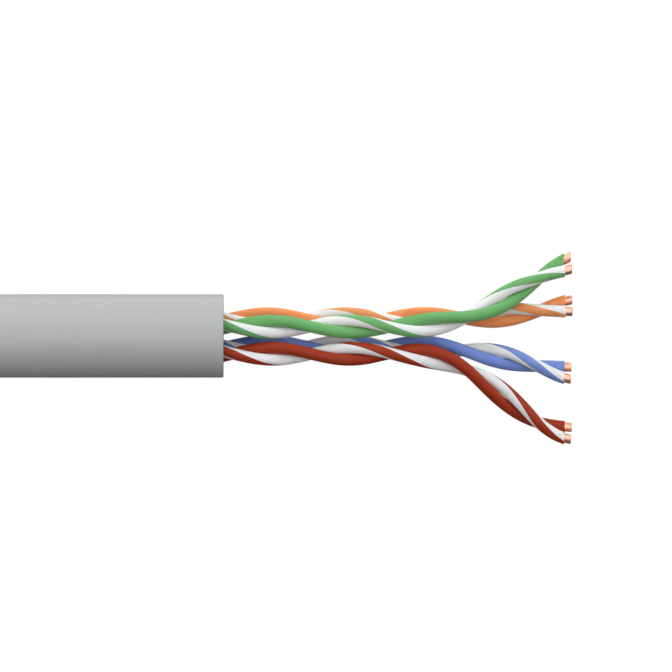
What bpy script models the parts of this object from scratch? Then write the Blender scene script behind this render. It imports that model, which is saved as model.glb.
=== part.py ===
"""The stripped end of a four-pair network cable: a short sample, cut square behind.

The cable lies along X. Its jacket ends in a mouth, and past the mouth the four twisted
pairs fan out and come down until their bare copper tips lie beside each other.
Each pair is two strands, and each strand is a copper core in a thin sleeve.
Lengths are in metres, except that a pair's own numbers are in millimetres.
"""

import math

import bmesh
import bpy
import numpy as np
from mathutils import Matrix, Vector

MM = 0.001

# Jacket
JACKET_RADIUS = 2.55 * MM
BORE_RADIUS = 2.07 * MM
JACKET_LENGTH = 40.0 * MM
JACKET_SIDES = 32
MOUTH_CHAMFER = 0.10 * MM

# Strands
SLEEVE_RADIUS = 0.36 * MM
SLEEVE_BORE = 0.29 * MM
CORE_RADIUS = 0.28 * MM
STRAND_SIDES = 6
BARE_COPPER = 0.40 * MM

# Twist
STRAND_OFFSET = 0.37 * MM
LAY = 9.57 * MM
FAN_START = 15.0 * MM
STEPS_PER_TURN = 8
ROUTE_SAMPLES = 1500

# Rip cord
RIP_CORD_RADIUS = 0.18 * MM
RIP_CORD_Y = 1.74 * MM
RIP_CORD_Z = 0.38 * MM
RIP_CORD_SET_BACK = 0.30 * MM
RIP_CORD_SIDES = 8

# The mouth's centre, placed so that the origin is under the middle of the whole part
MOUTH = Vector((9.29 * MM, 0.76 * MM, JACKET_RADIUS))

# Each pair's numbers are measured from the mouth's centre. "run" is the (y, z) where it
# runs straight in the jacket, and "route" is where it goes from there, as (x, y, z).
# "crest" is an x where its plain strand is at the top of the twist, "fan_lay" is its lay
# length past FAN_START, and "ends" is the x where its plain and striped sleeves end.
PAIRS = {
    "orange": {
        "run": (1.02, -0.72),
        "route": [
            (11.5, 1.03, -0.84),
            (13.2, 1.05, -1.02),
            (14.7, 1.07, -1.25),
            (16.3, 1.18, -1.46),
            (18.1, 1.39, -1.64),
            (19.4, 1.57, -1.72),
            (20.4, 1.75, -1.80),
            (21.6, 1.87, -1.86),
        ],
        "crest": 2.67,
        "fan_lay": 9.45,
        "ends": (20.89, 20.91),
    },
    "green": {
        "run": (0.57, 0.72),
        "route": [
            (11.1, 0.56, 0.64),
            (13.2, 0.78, 0.47),
            (15.4, 1.36, 0.13),
            (17.5, 2.47, -0.58),
            (19.3, 3.52, -1.30),
            (20.1, 3.97, -1.58),
            (20.9, 4.32, -1.82),
            (21.6, 4.58, -1.98),
        ],
        "crest": 2.90,
        "fan_lay": 8.93,
        "ends": (20.80, 20.88),
    },
    "blue": {
        "run": (-0.65, -0.72),
        "route": [
            (11.0, -0.67, -0.82),
            (12.8, -0.73, -0.95),
            (14.6, -0.88, -1.12),
            (17.0, -1.29, -1.42),
            (18.1, -1.57, -1.55),
            (19.2, -1.85, -1.67),
            (20.1, -2.07, -1.76),
            (20.8, -2.22, -1.81),
            (21.6, -2.32, -1.85),
        ],
        "crest": 2.67,
        "fan_lay": 9.11,
        "ends": (20.84, 20.80),
    },
    "brown": {
        "run": (-1.09, 0.72),
        "route": [
            (10.8, -1.08, 0.62),
            (12.6, -1.27, 0.42),
            (14.8, -2.06, -0.17),
            (16.9, -3.49, -0.85),
            (18.4, -4.75, -1.35),
            (19.3, -5.34, -1.60),
            (20.0, -5.65, -1.75),
            (20.7, -5.87, -1.87),
            (21.6, -6.00, -1.96),
        ],
        "crest": 2.97,
        "fan_lay": 8.60,
        "ends": (20.86, 20.81),
    },
}

# Colours, as linear red, green and blue
PAIR_COLOURS = {
    "orange": (0.83, 0.27, 0.08),
    "green": (0.10, 0.42, 0.13),
    "blue": (0.09, 0.15, 0.50),
    "brown": (0.34, 0.05, 0.02),
}
WHITE_PLASTIC = (0.85, 0.85, 0.83)
JACKET_GREY = (0.52, 0.52, 0.53)
COPPER = (0.80, 0.40, 0.25)
RIP_CORD_WHITE = (0.80, 0.79, 0.74)


def clear_scene():
    for obj in list(bpy.data.objects):
        bpy.data.objects.remove(obj, do_unlink=True)


def surface(name, colour, roughness, metallic=0.0):
    made = bpy.data.materials.new(name)
    made.use_nodes = True
    shader = made.node_tree.nodes["Principled BSDF"]
    shader.inputs["Base Color"].default_value = (*colour, 1.0)
    shader.inputs["Roughness"].default_value = roughness
    shader.inputs["Metallic"].default_value = metallic
    return made


def add_part(name, bm, parent, finish):
    """Makes the bmesh an object: faces out, round sides smooth and cut rims sharp."""
    bmesh.ops.recalc_face_normals(bm, faces=bm.faces)
    mesh = bpy.data.meshes.new(name)
    bm.to_mesh(mesh)
    bm.free()
    mesh.shade_smooth()
    mesh.set_sharp_from_angle(angle=math.radians(65.0))
    mesh.materials.append(finish)
    obj = bpy.data.objects.new(name, mesh)
    obj.parent = parent
    bpy.context.scene.collection.objects.link(obj)


def smooth_curve(points):
    """Samples of the natural cubic spline through the points."""
    points = np.array(points)
    chords = np.linalg.norm(np.diff(points, axis=0), axis=1)
    slopes = np.diff(points, axis=0) / chords[:, None]
    system = np.eye(len(points))
    right = np.zeros_like(points)
    for i in range(1, len(points) - 1):
        before, after = chords[i - 1], chords[i]
        system[i, i - 1 : i + 2] = before, 2.0 * (before + after), after
        right[i] = 6.0 * (slopes[i] - slopes[i - 1])
    bends = np.linalg.solve(system, right)
    knots = np.concatenate([[0.0], np.cumsum(chords)])
    at = np.linspace(0.0, knots[-1], ROUTE_SAMPLES)
    k = np.clip(np.searchsorted(knots, at, side="right") - 1, 0, len(chords) - 1)
    span = chords[k][:, None]
    gone = (at - knots[k])[:, None]
    left = span - gone
    curve = (bends[k] * left**3 + bends[k + 1] * gone**3) / (6.0 * span)
    curve += (points[k] / span - bends[k] * span / 6.0) * left
    curve += (points[k + 1] / span - bends[k + 1] * span / 6.0) * gone
    return curve


def side_and_top(line):
    """Unit vectors across a line at each of its points: level, and as upright as can be."""
    tangent = np.gradient(line, axis=0)
    tangent /= np.linalg.norm(tangent, axis=1)[:, None]
    up = np.array((0.0, 0.0, 1.0))
    top = up - tangent * (tangent @ up)[:, None]
    top /= np.linalg.norm(top, axis=1)[:, None]
    return np.cross(top, tangent), top


def strand_table(pair, half_turn):
    """A row for each point of a strand: its centre, its twist angle, its side and its top."""
    back = -JACKET_LENGTH / MM
    straight = [(x, *pair["run"]) for x in (back - 1.0, back / 2.0, 0.0, 4.0, 8.0)]
    axis = smooth_curve(straight + pair["route"]) * MM
    turns = (np.minimum(axis[:, 0], FAN_START) - pair["crest"] * MM) / LAY
    turns += np.maximum(axis[:, 0] - FAN_START, 0.0) / (pair["fan_lay"] * MM)
    angle = 2.0 * math.pi * (turns + half_turn)
    side, top = side_and_top(axis)
    line = axis + STRAND_OFFSET * (np.cos(angle)[:, None] * side + np.sin(angle)[:, None] * top)
    return np.column_stack([line, angle, *side_and_top(line)])


def rows_at_angles(table, angles):
    return np.column_stack([np.interp(angles, table[:, 3], column) for column in table.T])


def sleeve_rows(table, end):
    """The strand's rows at even steps of twist, from the square cut to the sleeve's end."""
    first, last = np.interp((-JACKET_LENGTH, end), table[:, 0], table[:, 3])
    steps = round((last - first) / (2.0 * math.pi) * STEPS_PER_TURN)
    return rows_at_angles(table, np.linspace(first, last, steps + 1))


def core_rows(table, end):
    """The sleeve's rows and one more, at the end of the bare copper."""
    tip = np.interp(end + BARE_COPPER, table[:, 0], table[:, 3])
    return np.vstack([sleeve_rows(table, end), rows_at_angles(table, [tip])])


def add_ring(bm, row, radius):
    """A polygon across the strand. It turns with the twist, a flat towards its partner."""
    centre, angle, side, top = row[:3], row[3], row[4:7], row[7:10]
    ring = []
    for i in range(STRAND_SIDES):
        turn = angle + 2.0 * math.pi * (i + 0.5) / STRAND_SIDES
        ring.append(bm.verts.new(centre + radius * (math.cos(turn) * side + math.sin(turn) * top)))
    return ring


def join_rings(bm, first, second):
    for i, corner in enumerate(first):
        following = (i + 1) % len(first)
        bm.faces.new((corner, first[following], second[following], second[i]))


def add_skin(bm, rows, radius):
    """A tube's side faces, cut square at the back. It returns the two rings at its ends."""
    rings = [add_ring(bm, row, radius) for row in rows]
    for corner in rings[0]:
        corner.co.x = -JACKET_LENGTH
    for first, second in zip(rings, rings[1:]):
        join_rings(bm, first, second)
    return rings[0], rings[-1]


def make_sleeve(name, rows, parent, finish):
    bm = bmesh.new()
    outer_ends = add_skin(bm, rows, SLEEVE_RADIUS)
    inner_ends = add_skin(bm, rows, SLEEVE_BORE)
    for outer, inner in zip(outer_ends, inner_ends):
        join_rings(bm, outer, inner)
    add_part(name, bm, parent, finish)


def make_core(name, rows, parent, finish):
    bm = bmesh.new()
    for ring in add_skin(bm, rows, CORE_RADIUS):
        bm.faces.new(ring)
    add_part(name, bm, parent, finish)


def make_pair(colour, pair, parent):
    """A pair's plain strand, and its white one half a turn behind."""
    plastics = {colour: PAIR_COLOURS[colour], f"white_{colour}": WHITE_PLASTIC}
    for i, (strand, plastic) in enumerate(plastics.items()):
        table = strand_table(pair, i / 2.0)
        end = pair["ends"][i] * MM
        sleeve = f"insulation_{strand}"
        core = f"copper_core_{strand}"
        make_sleeve(sleeve, sleeve_rows(table, end), parent, surface(sleeve, plastic, 0.45))
        make_core(core, core_rows(table, end), parent, surface(core, COPPER, 0.30, 1.0))


def make_jacket(parent):
    """The wall's outline, chamfered at the mouth and spun round X, with a flat underneath."""
    half_step = math.pi / JACKET_SIDES
    corner = 1.0 / math.cos(half_step)
    outline = (
        (-JACKET_LENGTH, BORE_RADIUS),
        (-JACKET_LENGTH, JACKET_RADIUS),
        (-MOUTH_CHAMFER, JACKET_RADIUS),
        (0.0, JACKET_RADIUS - MOUTH_CHAMFER),
        (0.0, BORE_RADIUS),
    )
    bm = bmesh.new()
    corners = [bm.verts.new((x, 0.0, -radius * corner)) for x, radius in outline]
    edges = [bm.edges.new((corners[i - 1], corners[i])) for i in range(len(corners))]
    bmesh.ops.spin(
        bm,
        geom=corners + edges,
        cent=(0.0, 0.0, 0.0),
        axis=(1.0, 0.0, 0.0),
        angle=2.0 * math.pi,
        steps=JACKET_SIDES,
        use_merge=True,
    )
    bmesh.ops.rotate(bm, verts=bm.verts, matrix=Matrix.Rotation(half_step, 3, "X"))
    add_part("outer_jacket", bm, parent, surface("outer_jacket", JACKET_GREY, 0.55))


def make_rip_cord(parent):
    """A thread between the pairs and the jacket, trimmed just inside the mouth."""
    length = JACKET_LENGTH - RIP_CORD_SET_BACK
    middle = Vector((-RIP_CORD_SET_BACK - length / 2.0, RIP_CORD_Y, RIP_CORD_Z))
    bm = bmesh.new()
    bmesh.ops.create_cone(
        bm,
        cap_ends=True,
        segments=RIP_CORD_SIDES,
        radius1=RIP_CORD_RADIUS,
        radius2=RIP_CORD_RADIUS,
        depth=length,
        matrix=Matrix.Translation(middle) @ Matrix.Rotation(math.pi / 2.0, 4, "Y"),
    )
    add_part("rip_cord", bm, parent, surface("rip_cord", RIP_CORD_WHITE, 0.80))


def main():
    clear_scene()
    mouth = bpy.data.objects.new("cable_mouth", None)
    mouth.location = MOUTH
    bpy.context.scene.collection.objects.link(mouth)
    make_jacket(mouth)
    make_rip_cord(mouth)
    for colour, pair in PAIRS.items():
        make_pair(colour, pair, mouth)


main()
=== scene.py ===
# %% [markdown]
# # The stripped end of a four-pair network cable
#
# A cable of this kind carries eight thin wires in one round grey jacket. The wires are
# twisted together two by two, and each pair has its own colour: one wire is plain, and its
# partner is white with a stripe. Here the jacket has been cut back, the pairs fan out, and
# a little bare copper shows at every tip.
#
# The frame that is loaded first holds the plain solids of the design. They are fixed, and
# each of them is replaced below by a finely modelled piece in the same place.

# %% Load the frame
import math

import bmesh
import bpy
import numpy as np
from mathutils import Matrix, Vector


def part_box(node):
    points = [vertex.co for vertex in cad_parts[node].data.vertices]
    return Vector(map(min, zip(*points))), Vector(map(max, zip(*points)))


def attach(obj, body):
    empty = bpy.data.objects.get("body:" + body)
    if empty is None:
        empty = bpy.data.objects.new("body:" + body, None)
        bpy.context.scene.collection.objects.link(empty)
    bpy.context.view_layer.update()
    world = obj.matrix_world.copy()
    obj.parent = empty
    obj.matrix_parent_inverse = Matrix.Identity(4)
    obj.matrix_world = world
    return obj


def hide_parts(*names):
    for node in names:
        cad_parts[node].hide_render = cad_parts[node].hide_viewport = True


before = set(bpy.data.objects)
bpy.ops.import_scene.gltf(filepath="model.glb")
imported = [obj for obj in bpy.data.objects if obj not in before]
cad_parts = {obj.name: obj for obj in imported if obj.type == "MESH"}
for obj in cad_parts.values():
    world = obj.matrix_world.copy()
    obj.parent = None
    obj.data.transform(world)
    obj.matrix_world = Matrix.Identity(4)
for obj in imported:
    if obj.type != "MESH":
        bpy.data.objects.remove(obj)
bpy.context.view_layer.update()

MM = 0.001

# %% [markdown]
# ## Where everything is
#
# All the sizes hang on the jacket, so they are read from its solid instead of typed again.
# The mouth is the middle of the jacket's cut end, where the pairs come out. Every route
# below is measured from it.

# %% Read the jacket's place
jacket_low, jacket_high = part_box("outer_jacket")
JACKET_RADIUS = (jacket_high.z - jacket_low.z) / 2.0
JACKET_LENGTH = jacket_high.x - jacket_low.x
BORE_RADIUS = 2.07 * MM
MOUTH = (jacket_low + jacket_high) / 2.0
MOUTH.x = jacket_high.x
print(f"jacket {2000 * JACKET_RADIUS:.2f} mm thick and {1000 * JACKET_LENGTH:.1f} mm long")

# %% [markdown]
# ## The camera
#
# The cable lies on a table and is looked at from straight above, with its tips to the
# right. A very long lens from far away keeps the lines almost parallel. It is still a
# perspective camera, so it can walk round the object.

# %% Set up the camera
VIEW_WIDTH = 41.05 * MM
VIEW_CENTRE = Vector((6.869 * MM, -0.002 * MM, 0.0))
LENS = 1200.0
SENSOR = 36.0

camera_data = bpy.data.cameras.new("view_from_above")
camera_data.lens = LENS
camera_data.sensor_width = SENSOR
camera_data.clip_end = 10.0
camera = bpy.data.objects.new("view_from_above", camera_data)
camera.location = MOUTH + VIEW_CENTRE + Vector((0.0, 0.0, VIEW_WIDTH * LENS / SENSOR))
bpy.context.scene.collection.objects.link(camera)
bpy.context.scene.camera = camera
print(f"camera {camera.location.z:.2f} m up, for a view {1000 * VIEW_WIDTH:.1f} mm wide")

# %% [markdown]
# ## Small helpers for shader nodes
#
# A material is a little graph. These helpers add a node, wire its inputs and hand back its
# output, so that a whole graph reads from top to bottom like a recipe.

# %% Shader helpers
def add_node(tree, kind, inputs=(), **settings):
    """Adds a node, sets its options, and wires or sets the inputs given by name or number."""
    made = tree.nodes.new(kind)
    for setting, value in settings.items():
        setattr(made, setting, value)
    for socket, value in dict(inputs).items():
        if isinstance(value, bpy.types.NodeSocket):
            tree.links.new(value, made.inputs[socket])
        else:
            made.inputs[socket].default_value = value
    return made


def maths(tree, operation, *values):
    """One sum. It returns the node's output."""
    return add_node(tree, "ShaderNodeMath", enumerate(values), operation=operation).outputs[0]


def smooth_step(tree, value, low, high):
    """0 below low, 1 above high, and a soft change between them."""
    inputs = {"Value": value, "From Min": low, "From Max": high}
    return add_node(tree, "ShaderNodeMapRange", inputs, interpolation_type="SMOOTHSTEP").outputs[0]


def noise(tree, vector, scale, detail):
    """Soft grey noise around 0.5."""
    inputs = {"Vector": vector, "Scale": scale, "Detail": detail}
    return add_node(tree, "ShaderNodeTexNoise", inputs).outputs["Fac"]


def stretched(tree, vector, scale):
    """The same coordinates, with each axis multiplied by its own number."""
    return add_node(tree, "ShaderNodeMapping", {"Vector": vector, "Scale": scale}).outputs[0]


def scaled(tree, vector, factor):
    """A colour or a place times one number, which can be another node's output."""
    return add_node(tree, "ShaderNodeVectorMath", {0: vector, 3: factor}, operation="SCALE").outputs[0]


def mix_colours(tree, share, first, second):
    """The first colour where share is 0, and the second where it is 1."""
    inputs = {0: share, 6: first, 7: second}
    return add_node(tree, "ShaderNodeMix", inputs, data_type="RGBA").outputs[2]


def new_group(name, inputs, outputs):
    """An empty node group with these sockets, and its input and output nodes."""
    tree = bpy.data.node_groups.new(name, "ShaderNodeTree")
    for socket, (kind, value) in inputs.items():
        made = tree.interface.new_socket(socket, in_out="INPUT", socket_type=kind)
        if value is not None:
            made.default_value = value
    for socket, kind in outputs.items():
        tree.interface.new_socket(socket, in_out="OUTPUT", socket_type=kind)
    return tree, tree.nodes.new("NodeGroupInput").outputs, tree.nodes.new("NodeGroupOutput").inputs


def new_material(name):
    """A material, its tree, and the sockets of its Principled shader."""
    made = bpy.data.materials.new(name)
    made.use_nodes = True
    return made, made.node_tree, made.node_tree.nodes["Principled BSDF"].inputs


def place_group(tree, group, inputs):
    """Puts a group in a tree and wires it. It returns its outputs."""
    return add_node(tree, "ShaderNodeGroup", inputs, node_tree=group).outputs


print("shader helpers ready")

# %% [markdown]
# ## Picking what an operator acts on
#
# Blender's operators act on whatever is selected. The frame's own solids are selected after
# they are loaded, so everything is dropped first and only what is meant is picked.

# %% Selection helper
def select_only(*objects):
    """Selects these objects and nothing else, with the first as the active one."""
    bpy.ops.object.select_all(action="DESELECT")
    for obj in objects:
        obj.select_set(True)
    if objects:
        bpy.context.view_layer.objects.active = objects[0]


select_only()
print("selected now:", len(bpy.context.selected_objects), "objects")

# %% [markdown]
# ## A table and a soft light tent
#
# The table is plain white. It glows by itself, so that it stays white under a soft light,
# and it sends no light back up onto the wires. The light is a tent: bright from overhead
# down past the horizon on the far side, and dim and a little warm on the near side. Every
# wire then has a broad soft highlight on one flank and a darker one on the other, which is
# what shows that it is round. A world shader makes such a tent with two soft edges and no
# noise.

# %% Lay the table
TABLE_SIZE = 4.0
TABLE_DROP = 0.01 * MM
TABLE_SHADE = 0.10
TABLE_GLOW = 0.95
PURE_WHITE = (1.0, 1.0, 1.0, 1.0)

select_only()
bpy.ops.mesh.primitive_plane_add(size=TABLE_SIZE, location=(0.0, 0.0, -TABLE_DROP))
table_top = bpy.context.object
table_top.name = "table"
table_finish, _, table_shader = new_material("pale_table")
table_shader["Base Color"].default_value = (TABLE_SHADE, TABLE_SHADE, TABLE_SHADE, 1.0)
table_shader["Roughness"].default_value = 1.0
table_shader["Specular IOR Level"].default_value = 0.0
table_shader["Emission Color"].default_value = PURE_WHITE
table_shader["Emission Strength"].default_value = TABLE_GLOW
table_top.data.materials.append(table_finish)
table_top.visible_diffuse = False
table_top.visible_glossy = False
print("table laid", TABLE_DROP / MM, "mm under the cable")

# %% Light the tent
TENT_LIGHT = 1.57
NEAR_EDGE = math.radians(-27.0)
FAR_EDGE = math.radians(133.0)
EDGE_SOFTNESS = math.radians(6.0)
DIM_SIDE = (0.108, 0.098, 0.090, 1.0)
BRIGHT_SIDE = (0.985, 0.995, 1.0, 1.0)

world = bpy.data.worlds.new("light_tent")
bpy.context.scene.world = world
world.use_nodes = True
tent = world.node_tree
tent.nodes.clear()
looking = add_node(tent, "ShaderNodeTexCoord").outputs["Generated"]
way = add_node(tent, "ShaderNodeSeparateXYZ", {0: looking}).outputs
tilt = maths(tent, "ARCTAN2", way["Y"], way["Z"])
past_near = smooth_step(tent, tilt, NEAR_EDGE - EDGE_SOFTNESS, NEAR_EDGE + EDGE_SOFTNESS)
past_far = smooth_step(tent, tilt, FAR_EDGE - EDGE_SOFTNESS, FAR_EDGE + EDGE_SOFTNESS)
lit = maths(tent, "SUBTRACT", past_near, past_far)
cloth = mix_colours(tent, lit, DIM_SIDE, BRIGHT_SIDE)
inside = add_node(tent, "ShaderNodeBackground", {"Color": cloth, "Strength": TENT_LIGHT})
backdrop = add_node(tent, "ShaderNodeBackground", {"Color": PURE_WHITE})
to_camera = add_node(tent, "ShaderNodeLightPath").outputs["Is Camera Ray"]
choice = {0: to_camera, 1: inside.outputs[0], 2: backdrop.outputs[0]}
either = add_node(tent, "ShaderNodeMixShader", choice)
add_node(tent, "ShaderNodeOutputWorld", {"Surface": either.outputs[0]})
bpy.context.scene.view_settings.view_transform = "Standard"
print("tent lit from", round(math.degrees(NEAR_EDGE)), "to", round(math.degrees(FAR_EDGE)), "degrees")

# %% [markdown]
# ## What extruded plastic looks like close up
#
# The jacket and the insulation are pushed through a die while they are soft. That leaves
# faint lines along the length, a fine matte grain, and a colour that is never perfectly
# even. One group makes all three, from coordinates in millimetres whose first axis runs
# along the cable. Each plastic places it with its own colour and strengths.

# %% The extruded plastic group
def make_extruded_group():
    tree, given, result = new_group(
        "extruded_plastic",
        {
            "Place": ("NodeSocketVector", None),
            "Colour": ("NodeSocketColor", None),
            "Unevenness": ("NodeSocketFloat", 0.06),
            "Roughness": ("NodeSocketFloat", 0.45),
        },
        {"Colour": "NodeSocketColor", "Roughness": "NodeSocketFloat", "Height": "NodeSocketFloat"},
    )
    place = given["Place"]
    clouds = noise(tree, stretched(tree, place, (0.25, 0.9, 0.9)), 1.0, 3.0)
    lines = noise(tree, stretched(tree, place, (0.10, 7.0, 7.0)), 1.0, 3.0)
    grain = noise(tree, place, 26.0, 2.0)
    # The two noises together average 0.8, so the colour keeps its own brightness on average
    tone = maths(tree, "MULTIPLY_ADD", lines, 0.6, clouds)
    tone = maths(tree, "MULTIPLY", maths(tree, "SUBTRACT", tone, 0.8), given["Unevenness"])
    brightness = maths(tree, "ADD", 1.0, tone)
    tree.links.new(scaled(tree, given["Colour"], brightness), result["Colour"])
    rough = maths(tree, "MULTIPLY_ADD", maths(tree, "SUBTRACT", lines, 0.5), 0.22, given["Roughness"])
    tree.links.new(rough, result["Roughness"])
    height = maths(tree, "MULTIPLY_ADD", grain, 0.35, lines)
    tree.links.new(height, result["Height"])
    return tree


extruded_plastic = make_extruded_group()
print("group:", extruded_plastic.name)

# %% [markdown]
# ## What a cut looks like
#
# A blade leaves fine parallel scratches, and it whitens plastic a little where it tears
# it. The ends of the jacket, of the insulation and of the copper all share this group.

# %% The cut face group
TORN_WHITE = (0.9, 0.88, 0.86, 1.0)


def make_cut_group():
    tree, given, result = new_group(
        "cut_face",
        {
            "Place": ("NodeSocketVector", None),
            "Colour": ("NodeSocketColor", None),
            "Paling": ("NodeSocketFloat", 0.15),
        },
        {"Colour": "NodeSocketColor", "Height": "NodeSocketFloat"},
    )
    place = given["Place"]
    scratches = noise(tree, stretched(tree, place, (1.0, 3.0, 30.0)), 1.0, 3.0)
    torn = smooth_step(tree, noise(tree, place, 9.0, 4.0), 0.45, 0.75)
    share = maths(tree, "MULTIPLY", torn, given["Paling"])
    tree.links.new(mix_colours(tree, share, given["Colour"], TORN_WHITE), result["Colour"])
    tree.links.new(maths(tree, "MULTIPLY_ADD", torn, 0.5, scratches), result["Height"])
    return tree


cut_face = make_cut_group()
print("group:", cut_face.name)

# %% [markdown]
# ## The stripe on a white wire
#
# The stripe is a second plastic laid on the white one in the same die. It keeps its place
# on the wire, so it winds round the pair as the wire does. The wires below carry their own
# straightened coordinates, in which the stripe is simply a slice of the circle: the group
# compares each point's direction with the stripe's middle. A little noise keeps its edges
# from being ruled lines. On a cut end the colour is only a thin skin on the white, so
# nothing within the inner radius is coloured.

# %% The stripe group
# How far a stripe's edge strays and how soft it is, both in radians round the wire
STRIPE_WANDER = 0.16
STRIPE_BLUR = 0.035


def make_stripe_group():
    tree, given, result = new_group(
        "wire_stripe",
        {
            "Place": ("NodeSocketVector", None),
            "Middle": ("NodeSocketFloat", 0.2),
            "Half Width": ("NodeSocketFloat", 0.8),
            "Inner Radius": ("NodeSocketFloat", 0.0),
        },
        {"Mask": "NodeSocketFloat"},
    )
    at = add_node(tree, "ShaderNodeSeparateXYZ", {0: given["Place"]}).outputs
    around = maths(tree, "ARCTAN2", at["Z"], at["Y"])
    apart = maths(tree, "SUBTRACT", around, given["Middle"])
    apart = maths(tree, "ARCCOSINE", maths(tree, "COSINE", apart))
    wander = noise(tree, stretched(tree, given["Place"], (0.8, 2.0, 2.0)), 1.0, 3.0)
    wander = maths(tree, "MULTIPLY", maths(tree, "SUBTRACT", wander, 0.5), STRIPE_WANDER)
    edge = maths(tree, "SUBTRACT", maths(tree, "ADD", given["Half Width"], wander), apart)
    slice_mask = smooth_step(tree, edge, -STRIPE_BLUR, STRIPE_BLUR)
    squares = [maths(tree, "POWER", at[axis], 2.0) for axis in "YZ"]
    out = maths(tree, "SQRT", maths(tree, "ADD", *squares))
    skin = maths(tree, "GREATER_THAN", out, given["Inner Radius"])
    tree.links.new(maths(tree, "MULTIPLY", slice_mask, skin), result["Mask"])
    return tree


wire_stripe = make_stripe_group()
print("group:", wire_stripe.name)

# %% [markdown]
# ## The finishes
#
# Each finish is one Principled shader fed by the groups. What is the same all over, such as
# the gloss of the plastic, is set on the shader itself. Insulation this thin lets light
# through, most of it in its own colour, so each wire glows a little on its shaded side. The
# wires read their "straightened" attribute, and the jacket reads its own object
# coordinates, turned into millimetres.

# %% Coordinates for the finishes
def straightened(tree):
    """A wire's own coordinates, in millimetres: along it first, then across."""
    return add_node(tree, "ShaderNodeAttribute", attribute_name="straightened").outputs["Vector"]


def object_millimetres(tree):
    """The jacket's own coordinates, in millimetres."""
    place = add_node(tree, "ShaderNodeTexCoord").outputs["Object"]
    return stretched(tree, place, (1.0 / MM,) * 3)


def bump(tree, shader, height, depth):
    """Lets a height roughen the surface: depth is how deep its marks are, in metres."""
    inputs = {"Height": height, "Distance": depth}
    tree.links.new(add_node(tree, "ShaderNodeBump", inputs).outputs[0], shader["Normal"])


def opaque(colour):
    """The colour with the fourth number that a socket wants."""
    return (*colour, 1.0)


print("coordinates ready")

# %% Plastic finishes
WIRE_ROUGHNESS = 0.42
WIRE_GLOSS = 0.15
JACKET_ROUGHNESS = 0.55
WIRE_CUT_ROUGHNESS = 0.7
JACKET_CUT_ROUGHNESS = 0.75
PLASTIC_IOR = 1.5

# How deep the marks of the die and of the blade are
DIE_MARKS = 0.004 * MM
WIRE_CUT_MARKS = 0.010 * MM
JACKET_CUT_MARKS = 0.020 * MM

# The radius at which a stripe's coloured skin ends inside its wire, in millimetres
SKIN_RADIUS = 0.325

# How far light travels inside each plastic, in millimetres of red, green and blue
GLOW = {
    "white": (0.36, 0.36, 0.36),
    "orange": (0.26, 0.09, 0.05),
    "green": (0.06, 0.18, 0.05),
    "blue": (0.08, 0.10, 0.22),
    "brown": (0.20, 0.05, 0.03),
}


def wire_plastic(name, dye, colour, stripe=None, cut=False):
    """Insulation, plain or striped: its outside, or its cut end."""
    finish, tree, shader = new_material(name)
    place = straightened(tree)
    base = opaque(colour)
    if stripe is not None:
        stripe_colour, middle, half_width = stripe
        inner = SKIN_RADIUS if cut else 0.0
        inputs = {"Place": place, "Middle": middle, "Half Width": half_width, "Inner Radius": inner}
        mask = place_group(tree, wire_stripe, inputs)["Mask"]
        base = mix_colours(tree, mask, base, opaque(stripe_colour))
    if cut:
        made = place_group(tree, cut_face, {"Place": place, "Colour": base, "Paling": 0.10})
        shader["Roughness"].default_value = WIRE_CUT_ROUGHNESS
        bump(tree, shader, made["Height"], WIRE_CUT_MARKS)
    else:
        inputs = {"Place": place, "Colour": base, "Unevenness": 0.10, "Roughness": WIRE_ROUGHNESS}
        made = place_group(tree, extruded_plastic, inputs)
        tree.links.new(made["Roughness"], shader["Roughness"])
        bump(tree, shader, made["Height"], DIE_MARKS)
    tree.links.new(made["Colour"], shader["Base Color"])
    shader["Specular IOR Level"].default_value = WIRE_GLOSS
    shader["Subsurface Weight"].default_value = 1.0
    shader["Subsurface Radius"].default_value = GLOW[dye]
    shader["Subsurface Scale"].default_value = MM
    return finish


def jacket_plastic(name, colour, cut=False):
    """The grey of the jacket: its outside, or its cut ends."""
    finish, tree, shader = new_material(name)
    place = object_millimetres(tree)
    if cut:
        made = place_group(tree, cut_face, {"Place": place, "Colour": opaque(colour), "Paling": 0.25})
        shader["Roughness"].default_value = JACKET_CUT_ROUGHNESS
        bump(tree, shader, made["Height"], JACKET_CUT_MARKS)
    else:
        inputs = {"Place": place, "Colour": opaque(colour), "Unevenness": 0.05}
        inputs["Roughness"] = JACKET_ROUGHNESS
        made = place_group(tree, extruded_plastic, inputs)
        tree.links.new(made["Roughness"], shader["Roughness"])
        bump(tree, shader, made["Height"], DIE_MARKS)
    tree.links.new(made["Colour"], shader["Base Color"])
    shader["IOR"].default_value = PLASTIC_IOR
    return finish


JACKET_GREY = (0.345, 0.347, 0.348)
JACKET_CUT_GREY = (0.35, 0.35, 0.352)
WHITE = (0.91, 0.907, 0.907)
WIRE_COLOURS = {
    "orange": (0.81, 0.268, 0.098),
    "green": (0.142, 0.365, 0.132),
    "blue": (0.162, 0.245, 0.56),
    "brown": (0.29, 0.031, 0.008),
}
# Where a stripe lies, in degrees round its wire from the side that faces out of the pair
STRIPES = {
    "orange": (-26.0, 73.0),
    "green": (-32.0, 61.0),
    "blue": (-33.0, 59.0),
    "brown": (-42.0, 55.0),
}

finishes = {}
for dye, colour in WIRE_COLOURS.items():
    first, last = (math.radians(edge) for edge in STRIPES[dye])
    band = (colour, (first + last) / 2.0, (last - first) / 2.0)
    for part, cut in (("skin", False), ("cut", True)):
        finishes[dye, part] = wire_plastic(f"{dye}_{part}", dye, colour, cut=cut)
        finishes[f"white_{dye}", part] = wire_plastic(f"white_{dye}_{part}", "white", WHITE, band, cut)
jacket_skin = jacket_plastic("jacket_skin", JACKET_GREY)
jacket_cut = jacket_plastic("jacket_cut", JACKET_CUT_GREY, cut=True)
print(len(finishes), "wire plastics and 2 jacket plastics")

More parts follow.
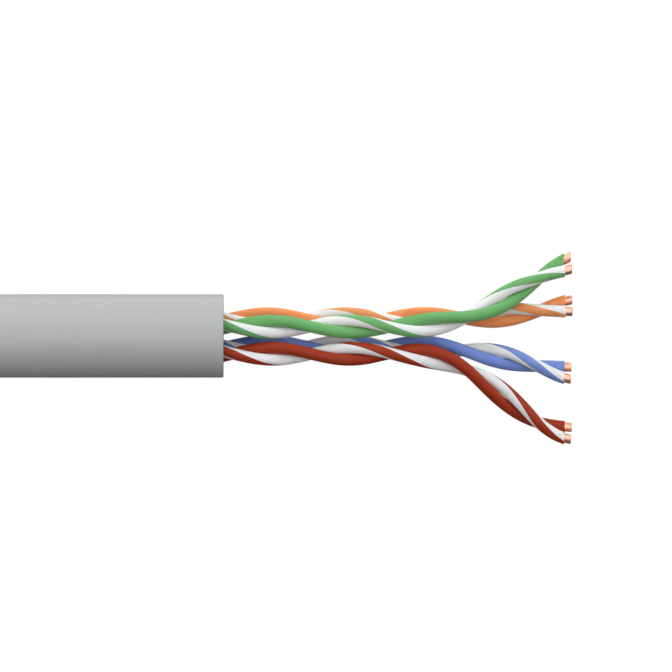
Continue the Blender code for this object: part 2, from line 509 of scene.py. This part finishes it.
# %% [markdown]
# ## Copper
#
# A wire is drawn through a die too, so bright copper has very fine scratches along it, and
# air dulls it in faint clouds. The sheared tip is rougher and less bright.

# %% Copper finishes
BRIGHT_COPPER = (0.92, 0.47, 0.33, 1.0)
DULL_COPPER = (0.74, 0.32, 0.20, 1.0)
SHEARED_COPPER = (0.80, 0.42, 0.26, 1.0)
SHEAR_MARKS = 0.012 * MM


def drawn_copper():
    """The length of a core: bright, scratched along it and dulled in clouds."""
    finish, tree, shader = new_material("drawn_copper")
    place = straightened(tree)
    clouds = noise(tree, stretched(tree, place, (2.0, 4.0, 4.0)), 1.0, 3.0)
    scratches = noise(tree, stretched(tree, place, (0.9, 34.0, 34.0)), 1.0, 3.0)
    dulled = smooth_step(tree, clouds, 0.40, 0.75)
    tree.links.new(mix_colours(tree, dulled, BRIGHT_COPPER, DULL_COPPER), shader["Base Color"])
    rough = maths(tree, "MULTIPLY_ADD", scratches, 0.16, 0.22)
    rough = maths(tree, "MULTIPLY_ADD", dulled, 0.08, rough)
    tree.links.new(rough, shader["Roughness"])
    shader["Metallic"].default_value = 1.0
    bump(tree, shader, scratches, DIE_MARKS)
    return finish


def sheared_copper():
    """The end of a core, where the cutter went through."""
    finish, tree, shader = new_material("sheared_copper")
    inputs = {"Place": straightened(tree), "Colour": SHEARED_COPPER, "Paling": 0.08}
    made = place_group(tree, cut_face, inputs)
    tree.links.new(made["Colour"], shader["Base Color"])
    shader["Roughness"].default_value = 0.45
    shader["Metallic"].default_value = 1.0
    bump(tree, shader, made["Height"], SHEAR_MARKS)
    return finish


copper_skin, copper_cut = drawn_copper(), sheared_copper()
print("copper, drawn and sheared")

# %% [markdown]
# ## How the pairs run
#
# Each pair follows a route: dead straight in the jacket and for a while past it, then out
# into the fan and down to the table. A smooth spline through a few chosen points gives its
# line. The two wires stand off that line on opposite sides, and turn about it once in
# every lay length. These are the same points and numbers as the design's.

# %% The routes
STRAND_OFFSET = 0.37 * MM
LAY = 9.57 * MM
FAN_START = 15.0 * MM
ROUTE_SAMPLES = 1500

# "run" is the (y, z) where a pair runs straight, and "route" is where it goes from there,
# as (x, y, z). "crest" is an x where its plain wire is on top, "fan_lay" is its lay length
# past FAN_START, and "ends" is the x where its plain and striped insulation ends. All are
# in millimetres from the mouth.
PAIRS = {
    "orange": {
        "run": (1.02, -0.72),
        "route": [
            (11.5, 1.03, -0.84),
            (13.2, 1.05, -1.02),
            (14.7, 1.07, -1.25),
            (16.3, 1.18, -1.46),
            (18.1, 1.39, -1.64),
            (19.4, 1.57, -1.72),
            (20.4, 1.75, -1.80),
            (21.6, 1.87, -1.86),
        ],
        "crest": 2.67,
        "fan_lay": 9.45,
        "ends": (20.89, 20.91),
    },
    "green": {
        "run": (0.57, 0.72),
        "route": [
            (11.1, 0.56, 0.64),
            (13.2, 0.78, 0.47),
            (15.4, 1.36, 0.13),
            (17.5, 2.47, -0.58),
            (19.3, 3.52, -1.30),
            (20.1, 3.97, -1.58),
            (20.9, 4.32, -1.82),
            (21.6, 4.58, -1.98),
        ],
        "crest": 2.90,
        "fan_lay": 8.93,
        "ends": (20.80, 20.88),
    },
    "blue": {
        "run": (-0.65, -0.72),
        "route": [
            (11.0, -0.67, -0.82),
            (12.8, -0.73, -0.95),
            (14.6, -0.88, -1.12),
            (17.0, -1.29, -1.42),
            (18.1, -1.57, -1.55),
            (19.2, -1.85, -1.67),
            (20.1, -2.07, -1.76),
            (20.8, -2.22, -1.81),
            (21.6, -2.32, -1.85),
        ],
        "crest": 2.67,
        "fan_lay": 9.11,
        "ends": (20.84, 20.80),
    },
    "brown": {
        "run": (-1.09, 0.72),
        "route": [
            (10.8, -1.08, 0.62),
            (12.6, -1.27, 0.42),
            (14.8, -2.06, -0.17),
            (16.9, -3.49, -0.85),
            (18.4, -4.75, -1.35),
            (19.3, -5.34, -1.60),
            (20.0, -5.65, -1.75),
            (20.7, -5.87, -1.87),
            (21.6, -6.00, -1.96),
        ],
        "crest": 2.97,
        "fan_lay": 8.60,
        "ends": (20.86, 20.81),
    },
}
print("pairs:", ", ".join(PAIRS))


# %% From route to wire
def smooth_curve(points):
    """Samples of the natural cubic spline through the points."""
    points = np.array(points)
    chords = np.linalg.norm(np.diff(points, axis=0), axis=1)
    slopes = np.diff(points, axis=0) / chords[:, None]
    system = np.eye(len(points))
    right = np.zeros_like(points)
    for i in range(1, len(points) - 1):
        before, after = chords[i - 1], chords[i]
        system[i, i - 1 : i + 2] = before, 2.0 * (before + after), after
        right[i] = 6.0 * (slopes[i] - slopes[i - 1])
    bends = np.linalg.solve(system, right)
    knots = np.concatenate([[0.0], np.cumsum(chords)])
    at = np.linspace(0.0, knots[-1], ROUTE_SAMPLES)
    k = np.clip(np.searchsorted(knots, at, side="right") - 1, 0, len(chords) - 1)
    span = chords[k][:, None]
    gone = (at - knots[k])[:, None]
    left = span - gone
    curve = (bends[k] * left**3 + bends[k + 1] * gone**3) / (6.0 * span)
    curve += (points[k] / span - bends[k] * span / 6.0) * left
    curve += (points[k + 1] / span - bends[k + 1] * span / 6.0) * gone
    return curve


def side_and_top(line):
    """Unit vectors across a line at each of its points: level, and as upright as can be."""
    tangent = np.gradient(line, axis=0)
    tangent /= np.linalg.norm(tangent, axis=1)[:, None]
    up = np.array((0.0, 0.0, 1.0))
    top = up - tangent * (tangent @ up)[:, None]
    top /= np.linalg.norm(top, axis=1)[:, None]
    return np.cross(top, tangent), top


def table_of(line, angle):
    """A row for each point of a line: centre, angle, side, top, and the way along it."""
    along = np.concatenate([[0.0], np.cumsum(np.linalg.norm(np.diff(line, axis=0), axis=1))])
    return np.column_stack([line, angle, *side_and_top(line), along])


def wire_table(pair, half_turn):
    """The rows of one wire of a pair, measured from the mouth."""
    back = -JACKET_LENGTH / MM
    straight = [(x, *pair["run"]) for x in (back - 1.0, back / 2.0, 0.0, 4.0, 8.0)]
    axis = smooth_curve(straight + pair["route"]) * MM
    turns = (np.minimum(axis[:, 0], FAN_START) - pair["crest"] * MM) / LAY
    turns += np.maximum(axis[:, 0] - FAN_START, 0.0) / (pair["fan_lay"] * MM)
    angle = 2.0 * math.pi * (turns + half_turn)
    side, top = side_and_top(axis)
    away = np.cos(angle)[:, None] * side + np.sin(angle)[:, None] * top
    return table_of(axis + STRAND_OFFSET * away, angle)


def rows_along(table, along):
    """The table's rows at these distances along the wire."""
    return np.column_stack([np.interp(along, table[:, -1], column) for column in table.T])


print("each wire's line has", ROUTE_SAMPLES, "points")

# %% [markdown]
# ## Turning a line into a wire
#
# A tube with a cut end isn't a plain pipe: its rim flares, rounds over and then goes back
# inside. So a wire is described by stations. Each station is a ring: how far along it
# stands, its radius, how ragged it is, and whether the faces after it belong to a cut. Its
# last number turns it from square to its own wire (0) to square to the whole cable (1). A
# loop of stations that comes back to its start makes a sleeve, and one with a point at each
# end makes a solid core. The rings turn with the wire's twist, so the stripe follows the
# wire, and each point keeps its straightened place as an attribute for the finishes.

# %% Build a piece from stations
WIRE_SIDES = 28
SMOOTH_BELOW = math.radians(38.0)
PATTERN_SHIFT = 100.0


def smooth_by_angle(obj):
    """Shades it smooth, but for the edges that turn by more than the angle."""
    select_only(obj)
    bpy.ops.object.shade_smooth_by_angle(angle=SMOOTH_BELOW)


def ragged(turn, seed):
    """How far a hand-made cut wanders along the wire as it goes round, from -1 to 1."""
    slow = np.sin(2.0 * turn + seed) + np.sin(3.0 * turn + 2.3 * seed)
    return (slow + 0.6 * np.sin(7.0 * turn + seed)) / 2.6


def ring_of(table, along, radius, wander, square, seed):
    """One ring's points, from the mouth, and its straightened points in millimetres."""
    turn = 2.0 * math.pi * np.arange(WIRE_SIDES) / WIRE_SIDES
    row = rows_along(table, [along])[0]
    centre, angle, side, top = row[:3], row[3], row[4:7], row[7:10]
    forward = np.cross(side, top)
    out = np.cos(angle + turn)[:, None] * side + np.sin(angle + turn)[:, None] * top
    shift = wander * ragged(turn, seed) - square * radius * out[:, 0] / forward[0]
    straight = np.column_stack([along + shift, radius * np.cos(turn), radius * np.sin(turn)])
    return centre + radius * out + shift[:, None] * forward, straight / MM


def ring_corners(first):
    """The pairs of neighbouring corners in the ring whose corners start at this number."""
    return [(first + j, first + (j + 1) % WIRE_SIDES) for j in range(WIRE_SIDES)]


def build_wire(name, table, stations, seed, solid, materials):
    """Makes a wire of its stations, which are (along, radius, wander, cut, square) in order."""
    points, places, faces, cuts = [], [], [], []
    for along, radius, wander, cut, square in stations:
        ring, straight = ring_of(table, along, radius, wander, square, seed)
        points.append(ring)
        places.append(straight)
    count = len(stations)
    for k in range(count - 1 if solid else count):
        here = ring_corners(k * WIRE_SIDES)
        beyond = ring_corners((k + 1) % count * WIRE_SIDES)
        faces += [(a, b, d, c) for (a, b), (c, d) in zip(here, beyond)]
        cuts += [stations[k][3]] * WIRE_SIDES
    points, places = np.vstack(points), np.vstack(places)
    if solid:
        last = (count - 1) * WIRE_SIDES
        for first, pole in ((0, len(points)), (last, len(points) + 1)):
            points = np.vstack([points, points[first : first + WIRE_SIDES].mean(axis=0)])
            places = np.vstack([places, places[first : first + WIRE_SIDES].mean(axis=0)])
            faces += [(b, a, pole) if first == 0 else (a, b, pole) for a, b in ring_corners(first)]
            cuts += [True] * WIRE_SIDES
    mesh = bpy.data.meshes.new(name)
    mesh.from_pydata(points + np.array(MOUTH), [], faces)
    # Each wire starts at another place in the noises, so that no two have the same marks
    places[:, 0] += PATTERN_SHIFT * seed
    attribute = mesh.attributes.new("straightened", "FLOAT_VECTOR", "POINT")
    attribute.data.foreach_set("vector", places.astype(np.float32).ravel())
    for material in materials:
        mesh.materials.append(material)
    mesh.polygons.foreach_set("material_index", np.array(cuts, dtype=np.int32))
    obj = bpy.data.objects.new(name, mesh)
    bpy.context.scene.collection.objects.link(obj)
    smooth_by_angle(obj)
    return obj


print("wires have", WIRE_SIDES, "sides")

# %% [markdown]
# ## Insulation
#
# The insulation is a thin sleeve. Pulling it off its copper with a stripping tool leaves
# its end a little belled and ragged. All eight were stripped with one straight bite across
# the cable, so each end leans over as far as its wire does. Behind, the whole cable was cut
# at once, so that end is square and sharp, with the plastic sprung back a hair.

# %% Sleeves
SLEEVE_RADIUS = 0.36 * MM
SLEEVE_BORE = 0.283 * MM
RING_STEP = 0.20 * MM
BARE_COPPER = 0.40 * MM
SPRUNG_BACK = 0.03 * MM
LEAN_LENGTH = 1.2 * MM
RAGGEDNESS = 0.022 * MM
RAGGED_LENGTH = 0.24 * MM
# The evenly spaced rings stop this far before the end, to leave room for the shaped ones
SHAPED_LENGTH = 0.5 * MM

# The sleeve's stripped end, outside and then inside: millimetres before the end, radius
STRIPPED_END = [
    (0.42, 0.360),
    (0.24, 0.362),
    (0.12, 0.368),
    (0.05, 0.373),
    (0.015, 0.370),
    (0.0, 0.358),
]
STRIPPED_INSIDE = [(0.0, 0.312), (0.01, 0.292), (0.04, 0.283)]


def wire_ends(table, end):
    """How far along the wire its square cut and its insulation's end are."""
    return np.interp((-JACKET_LENGTH, end), table[:, 0], table[:, -1])


def lean_at(before):
    """How square to the cable a ring is: it grows from 0 to 1 over the last stretch."""
    return max(0.0, 1.0 - before / LEAN_LENGTH) ** 2


def make_sleeve(name, table, end, seed, materials):
    """A sleeve as one loop of rings: along its outside, round its rim, and back in its bore."""
    back, front = wire_ends(table, end)
    back += SPRUNG_BACK
    even = np.arange(back + RING_STEP, front - SHAPED_LENGTH, RING_STEP)
    lean = [lean_at(front - at) for at in even]
    stations = [(back, SLEEVE_RADIUS, 0.0, False, 1.0)]
    stations += [(at, SLEEVE_RADIUS, 0.0, False, share) for at, share in zip(even, lean)]
    for before, radius in STRIPPED_END:
        wander = RAGGEDNESS * max(0.0, 1.0 - before * MM / RAGGED_LENGTH)
        stations.append((front - before * MM, radius * MM, wander, before == 0.0, lean_at(before * MM)))
    for before, radius in STRIPPED_INSIDE:
        stations.append((front - before * MM, radius * MM, RAGGEDNESS, before == 0.0, 1.0))
    stations += [(at, SLEEVE_BORE, 0.0, False, share) for at, share in zip(even[::-1], lean[::-1])]
    stations.append((back, SLEEVE_BORE, 0.0, True, 1.0))
    return build_wire(name, table, stations, seed, False, materials)


print("a sleeve has a wall of", round((SLEEVE_RADIUS - SLEEVE_BORE) / MM, 3), "mm")

# %% [markdown]
# ## Copper cores
#
# The core is one solid wire right through. The stripping blade nicks it beside the sleeve,
# and the cutter that trimmed the tip pinched its edge round.

# %% Cores
CORE_RADIUS = 0.28 * MM
CORE_SHAPED_LENGTH = 0.1 * MM
SHEAR_WANDER = 0.010 * MM
# Where the tip's rings start to wander, and where its cut face starts, in millimetres
PINCHED_FROM = 0.40
SHEARED_FROM = 0.42

# The tip, from the sleeve's end: millimetres past it, radius
NICKED_TIP = [
    (-0.06, 0.280),
    (0.02, 0.280),
    (0.045, 0.273),
    (0.075, 0.280),
    (0.20, 0.280),
    (0.34, 0.281),
    (0.385, 0.277),
    (0.408, 0.265),
    (0.420, 0.243),
    (0.424, 0.120),
]


def make_core(name, table, end, seed):
    """A core as one run of rings, with a flat end at the square cut and a pinched tip."""
    back, front = wire_ends(table, end)
    reach = np.interp(end + BARE_COPPER, table[:, 0], table[:, -1]) - front
    stations = [(back, CORE_RADIUS * share, 0.0, share < 1.0, 1.0) for share in (0.5, 1.0)]
    even = np.arange(back + RING_STEP, front - CORE_SHAPED_LENGTH, RING_STEP)
    stations += [(at, CORE_RADIUS, 0.0, False, lean_at(front - at)) for at in even]
    for past, radius in NICKED_TIP:
        # A slanted wire goes a little further for the same bare length along the cable
        at = front + past * MM * (reach / BARE_COPPER if past > 0.0 else 1.0)
        wander = SHEAR_WANDER if past > PINCHED_FROM else 0.0
        lean = lean_at(front - min(at, front))
        stations.append((at, radius * MM, wander, past >= SHEARED_FROM, lean))
    return build_wire(name, table, stations, seed, True, (copper_skin, copper_cut))


wires = {}
for pair_number, (dye, pair) in enumerate(PAIRS.items()):
    for i, strand in enumerate((dye, f"white_{dye}")):
        table = wire_table(pair, i / 2.0)
        seed = 1.0 + 2.0 * pair_number + i
        end = pair["ends"][i] * MM
        plastic = (finishes[strand, "skin"], finishes[strand, "cut"])
        sleeve = make_sleeve(f"{strand}_insulation", table, end, seed, plastic)
        core = make_core(f"{strand}_copper", table, end, seed)
        wires[strand] = (sleeve, core, table, end)
        sleeve_faces, core_faces = len(sleeve.data.polygons), len(core.data.polygons)
        print(strand, sleeve_faces, "faces in its sleeve,", core_faces, "in its core")

# %% [markdown]
# ## The jacket
#
# The jacket is a thick-walled tube of soft plastic, cut off square. It starts as a
# cylinder. Insetting both ends and bridging them opens the bore, the outer rim of the mouth
# is bevelled, and cuts along the length give the points for the faint humps that the pairs
# inside press into the wall.

# %% Edit-mode helpers
END_FACING = 0.9


def edit_select(obj, kind, test):
    """Goes into edit mode and selects the faces or edges that pass the test, and no others."""
    select_only(obj)
    bpy.ops.object.mode_set(mode="EDIT")
    bpy.ops.mesh.select_mode(type="FACE" if kind == "faces" else "EDGE")
    bpy.ops.mesh.select_all(action="DESELECT")
    bm = bmesh.from_edit_mesh(obj.data)
    chosen = [piece for piece in getattr(bm, kind) if test(piece)]
    for piece in chosen:
        piece.select_set(True)
    bmesh.update_edit_mesh(obj.data)
    return len(chosen)


def leave_edit():
    """Goes back to object mode."""
    bpy.ops.object.mode_set(mode="OBJECT")


def is_end(face):
    """Whether a face looks along the cable, as the cut ends do."""
    return abs(face.normal.x) > END_FACING


def off_axis(point):
    """How far a point is from the cable's middle line."""
    return math.hypot(point.y - MOUTH.y, point.z - MOUTH.z)


def on_outside(point):
    """Whether a point is nearer the jacket's outside than its bore."""
    return off_axis(point) > (JACKET_RADIUS + BORE_RADIUS) / 2.0


print("edit helpers ready")

# %% Model the jacket
JACKET_SIDES = 128
RIM_BEVEL = 0.09 * MM
RIM_SEGMENTS = 4
JACKET_CUTS = 79
CLOSE = 0.01 * MM

select_only()
bpy.ops.mesh.primitive_cylinder_add(
    vertices=JACKET_SIDES,
    radius=JACKET_RADIUS,
    depth=JACKET_LENGTH,
    location=MOUTH - Vector((JACKET_LENGTH / 2.0, 0.0, 0.0)),
    rotation=(0.0, math.pi / 2.0, 0.0),
)
jacket = bpy.context.object
jacket.name = "cable_jacket"
bpy.ops.object.transform_apply(location=True, rotation=True, scale=True)
edit_select(jacket, "faces", is_end)
bpy.ops.mesh.inset(thickness=JACKET_RADIUS - BORE_RADIUS)
bpy.ops.mesh.bridge_edge_loops()
leave_edit()


def on_mouth_rim(edge):
    """Whether an edge is on the outer rim of the mouth."""
    return all(on_outside(v.co) and abs(v.co.x - MOUTH.x) < CLOSE for v in edge.verts)


def runs_along(edge):
    """Whether an edge runs the length of the jacket."""
    return edge.calc_length() > JACKET_LENGTH / 2.0


rim_edges = edit_select(jacket, "edges", on_mouth_rim)
bpy.ops.mesh.bevel(offset=RIM_BEVEL, segments=RIM_SEGMENTS, affect="EDGES")
leave_edit()
long_edges = edit_select(jacket, "edges", runs_along)
bpy.ops.mesh.subdivide(number_cuts=JACKET_CUTS)
leave_edit()
print(rim_edges, "rim edges bevelled and", long_edges, "long edges cut")
print("the jacket has", len(jacket.data.polygons), "faces")

# %% Press the pairs into the jacket
HUMP = 0.005 * MM
HUMP_LAY = 62.0 * MM


def press_humps(obj):
    """Four faint humps wind along the jacket's outside, and never stand past its radius."""
    for vertex in obj.data.vertices:
        if not on_outside(vertex.co):
            continue
        around = math.atan2(vertex.co.z - MOUTH.z, vertex.co.y - MOUTH.y)
        hump = math.cos(len(PAIRS) * (around - 2.0 * math.pi * vertex.co.x / HUMP_LAY))
        shrink = 1.0 - HUMP * (1.0 - hump) / 2.0 / off_axis(vertex.co)
        vertex.co.y = MOUTH.y + (vertex.co.y - MOUTH.y) * shrink
        vertex.co.z = MOUTH.z + (vertex.co.z - MOUTH.z) * shrink


press_humps(jacket)
jacket.data.materials.clear()
jacket.data.materials.append(jacket_skin)
jacket.data.materials.append(jacket_cut)
for polygon in jacket.data.polygons:
    polygon.material_index = int(is_end(polygon))
smooth_by_angle(jacket)
print("jacket pressed and finished")

# %% [markdown]
# ## The rip cord
#
# A thin thread lies between the pairs and the jacket. Pulling it tears the jacket open. It
# is three plies of fine white fibre, laid round each other like a rope. It is trimmed just
# inside the mouth, so it shows only at the square cut behind.

# %% Thread finish
# SHADED_FIBRE is painted shade for the hollows between fibres, and BRIGHT_FIBRE is the fibre's own
# white
SHADED_FIBRE = (0.45, 0.43, 0.38, 1.0)
BRIGHT_FIBRE = (0.80, 0.79, 0.74, 1.0)
FIBRE_MARKS = 0.010 * MM


def thread_fibre():
    """Fine white fibres along each ply, with painted shade in streaks for where they lie deeper."""
    finish, tree, shader = new_material("thread_fibre")
    place = straightened(tree)
    fibres = noise(tree, stretched(tree, place, (1.2, 40.0, 40.0)), 1.0, 2.0)
    # Painted shade: the darker colour is laid along noise streaks, standing for the hollows between
    # fibres
    shade = smooth_step(tree, fibres, 0.30, 0.62)
    tree.links.new(mix_colours(tree, shade, SHADED_FIBRE, BRIGHT_FIBRE), shader["Base Color"])
    shader["Roughness"].default_value = 0.8
    shader["Sheen Weight"].default_value = 0.3
    bump(tree, shader, fibres, FIBRE_MARKS)
    return finish


fibre = thread_fibre()
print("finish:", fibre.name)

# %% Lay the thread
CORD_Y = 1.74 * MM
CORD_Z = 0.38 * MM
CORD_SET_BACK = 0.30 * MM
PLIES = 3
PLY_RADIUS = 0.083 * MM
PLY_OFFSET = 0.094 * MM
PLY_LAY = 1.6 * MM
PLY_STEP = 0.10 * MM
PLY_MARGIN = 0.06 * MM
PLY_SEED = 20.0

# A ply's rounded end: millimetres from the end, and the share of its radius
PLY_END = [(0.0, 0.6), (0.02, 0.9), (0.05, 1.0)]


def make_ply(number):
    """One ply: a helix round the thread's straight line, with rounded ends."""
    x = np.linspace(-JACKET_LENGTH, -CORD_SET_BACK, ROUTE_SAMPLES)
    angle = 2.0 * math.pi * (x / PLY_LAY + number / PLIES)
    y = CORD_Y + PLY_OFFSET * np.cos(angle)
    z = CORD_Z + PLY_OFFSET * np.sin(angle)
    table = table_of(np.column_stack([x, y, z]), angle)
    length = table[-1, -1]
    rings = [(inset * MM, share) for inset, share in PLY_END]
    even = np.arange(rings[-1][0] + PLY_STEP, length - PLY_MARGIN, PLY_STEP)
    rings += [(at, 1.0) for at in even]
    rings += [(length - inset * MM, share) for inset, share in PLY_END[::-1]]
    stations = [(at, PLY_RADIUS * share, 0.0, False, 0.0) for at, share in rings]
    return build_wire(f"ply_{number}", table, stations, PLY_SEED + number, True, (fibre,))


select_only(*[make_ply(number) for number in range(PLIES)])
bpy.ops.object.join()
thread = bpy.context.object
thread.name = "rip_thread"
print("thread of", PLIES, "plies,", len(thread.data.polygons), "faces")

# %% [markdown]
# ## Telling the frame what each piece is
#
# Each piece rides on the cable's one body and stands for its plain solid. The jacket and
# the eight wires all start at the square cut behind.

# %% Ride and replace
def stands_for(piece, node):
    """The piece rides on the body and takes the place of a plain solid."""
    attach(piece, "root")
    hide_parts(node)


stands_for(jacket, "outer_jacket")
stands_for(thread, "rip_cord")
for strand, (sleeve, core, table, end) in wires.items():
    stands_for(sleeve, f"insulation_{strand}")
    stands_for(core, f"copper_core_{strand}")
print(len(wires) * 2 + 2, "pieces ride on the root")
